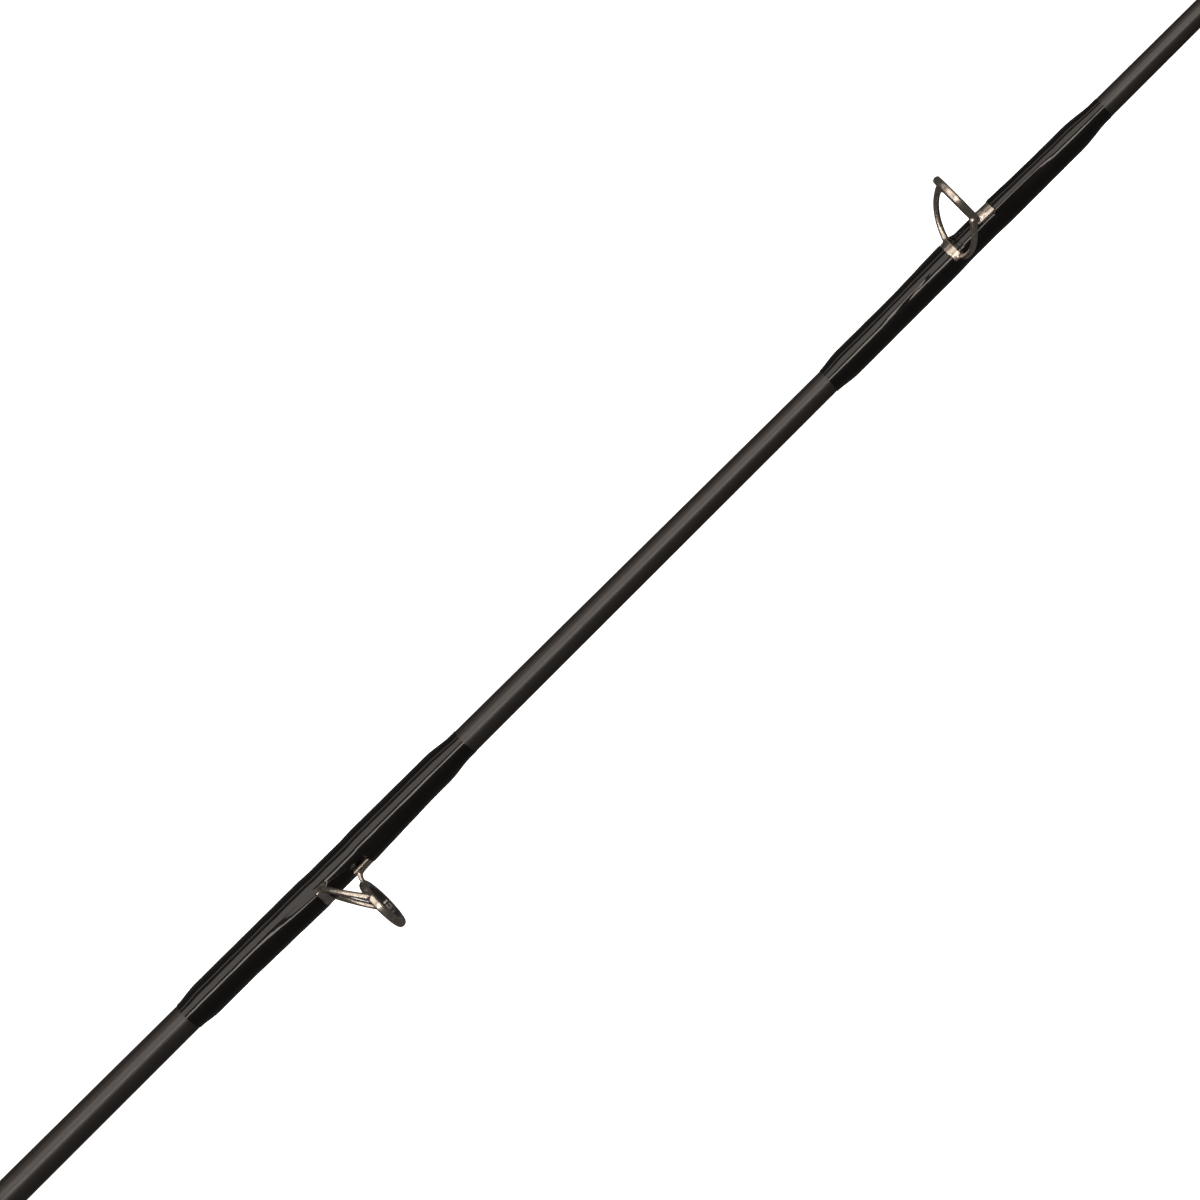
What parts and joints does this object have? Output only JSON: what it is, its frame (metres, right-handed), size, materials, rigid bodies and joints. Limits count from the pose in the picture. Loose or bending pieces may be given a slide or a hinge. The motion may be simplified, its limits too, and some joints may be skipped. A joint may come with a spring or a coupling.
{
  "type": "spinning rod",
  "caption": "Two-piece spinning rod: foam grips, pipe reel seat with a screw hood, spiral-set guides with ceramic rings, glossy thread wraps, hook keeper and tip-top.",
  "frame": {"origin": "on the blank's axis where the butt reaches its full diameter, 4 mm above the end of the rounded cap", "axes": "+X along the rod from the butt to the tip; +Z is the side that the guides of the tip section's upper part stand on, and the reel hangs on the -Z side"},
  "size_m": [1.9838, 0.0336, 0.0557],
  "materials": {
    "blank": "satin black paint over a tapered composite tube",
    "wrap": "black winding thread under a thick coat of clear glossy resin",
    "guide_metal": "polished stainless steel with a smoky warm tint",
    "ring_ceramic": "polished dark grey ceramic",
    "grip_foam": "fine-celled dense black foam, sanded",
    "cap_rubber": "soft black rubber",
    "trim_metal": "satin anodised aluminium, gunmetal",
    "seat_resin": "black graphite-filled nylon with a light sheen",
    "seat_metal": "satin anodised aluminium, gunmetal",
    "arbor": "rigid foam sleeves, hidden"
  },
  "bodies": {
    "butt_section": {"butt_cap": "cap_rubber", "rear_grip": "grip_foam", "rear_trim_ring": "trim_metal", "butt_blank": "blank", "seat_body": "seat_resin", "seat_arbors": "arbor", "fixed_hood": "seat_metal", "fore_trim_ring": "trim_metal", "fore_grip": "grip_foam", "winding_check": "trim_metal", "check_wrap": "wrap", "hook_keeper_base": "guide_metal", "hook_keeper_wraps": "wrap", "butt_ferrule_wrap": "wrap", "guide_1_frame": "guide_metal", "guide_1_ring": "ring_ceramic", "guide_1_underwrap": "wrap", "guide_1_rear_wrap": "wrap", "guide_1_front_wrap": "wrap"},
    "tip_section": {"tip_blank": "blank", "tip_ferrule_wrap": "wrap", "guide_2_frame": "guide_metal", "guide_2_ring": "ring_ceramic", "guide_2_underwrap": "wrap", "guide_2_rear_wrap": "wrap", "guide_2_front_wrap": "wrap", "guide_3_frame": "guide_metal", "guide_3_ring": "ring_ceramic", "guide_3_underwrap": "wrap", "guide_3_rear_wrap": "wrap", "guide_3_front_wrap": "wrap", "guide_4_frame": "guide_metal", "guide_4_ring": "ring_ceramic", "guide_4_underwrap": "wrap", "guide_4_rear_wrap": "wrap", "guide_4_front_wrap": "wrap", "guide_5_frame": "guide_metal", "guide_5_ring": "ring_ceramic", "guide_5_rear_wrap": "wrap", "guide_5_front_wrap": "wrap", "guide_6_frame": "guide_metal", "guide_6_ring": "ring_ceramic", "guide_6_rear_wrap": "wrap", "guide_6_front_wrap": "wrap", "guide_7_frame": "guide_metal", "guide_7_ring": "ring_ceramic", "guide_7_rear_wrap": "wrap", "guide_7_front_wrap": "wrap", "tip_top_frame": "guide_metal", "tip_top_ring": "ring_ceramic", "tip_top_wrap": "wrap"},
    "sliding_hood": {"sliding_hood": "seat_metal", "hood_washer": "cap_rubber"},
    "lock_nut": {"lock_nut": "seat_metal"},
    "hook_loop": {"hook_loop": "guide_metal"}
  },
  "joints": [
    {"name": "tip_pull", "type": "slide", "parent": "butt_section", "child": "tip_section", "axis": [1, 0, 0], "range_m": [0, 0.075]},
    {"name": "hood_slide", "type": "slide", "parent": "butt_section", "child": "sliding_hood", "axis": [1, 0, 0], "range_m": [0, 0.016]},
    {"name": "nut_spin", "type": "hinge", "parent": "sliding_hood", "child": "lock_nut", "pos_m": [0.3135, 0, 0], "axis": [1, 0, 0], "range_deg": [0, 2880]},
    {"name": "hook_keeper_flip", "type": "hinge", "parent": "butt_section", "child": "hook_loop", "pos_m": [0.566, 0, -0.00659], "axis": [0, 1, 0], "range_deg": [-88, 88]}
  ],
  "couplings": [
    {"joint": "nut_spin", "follows": "hood_slide", "rad_per_m": 3141.6}
  ]
}
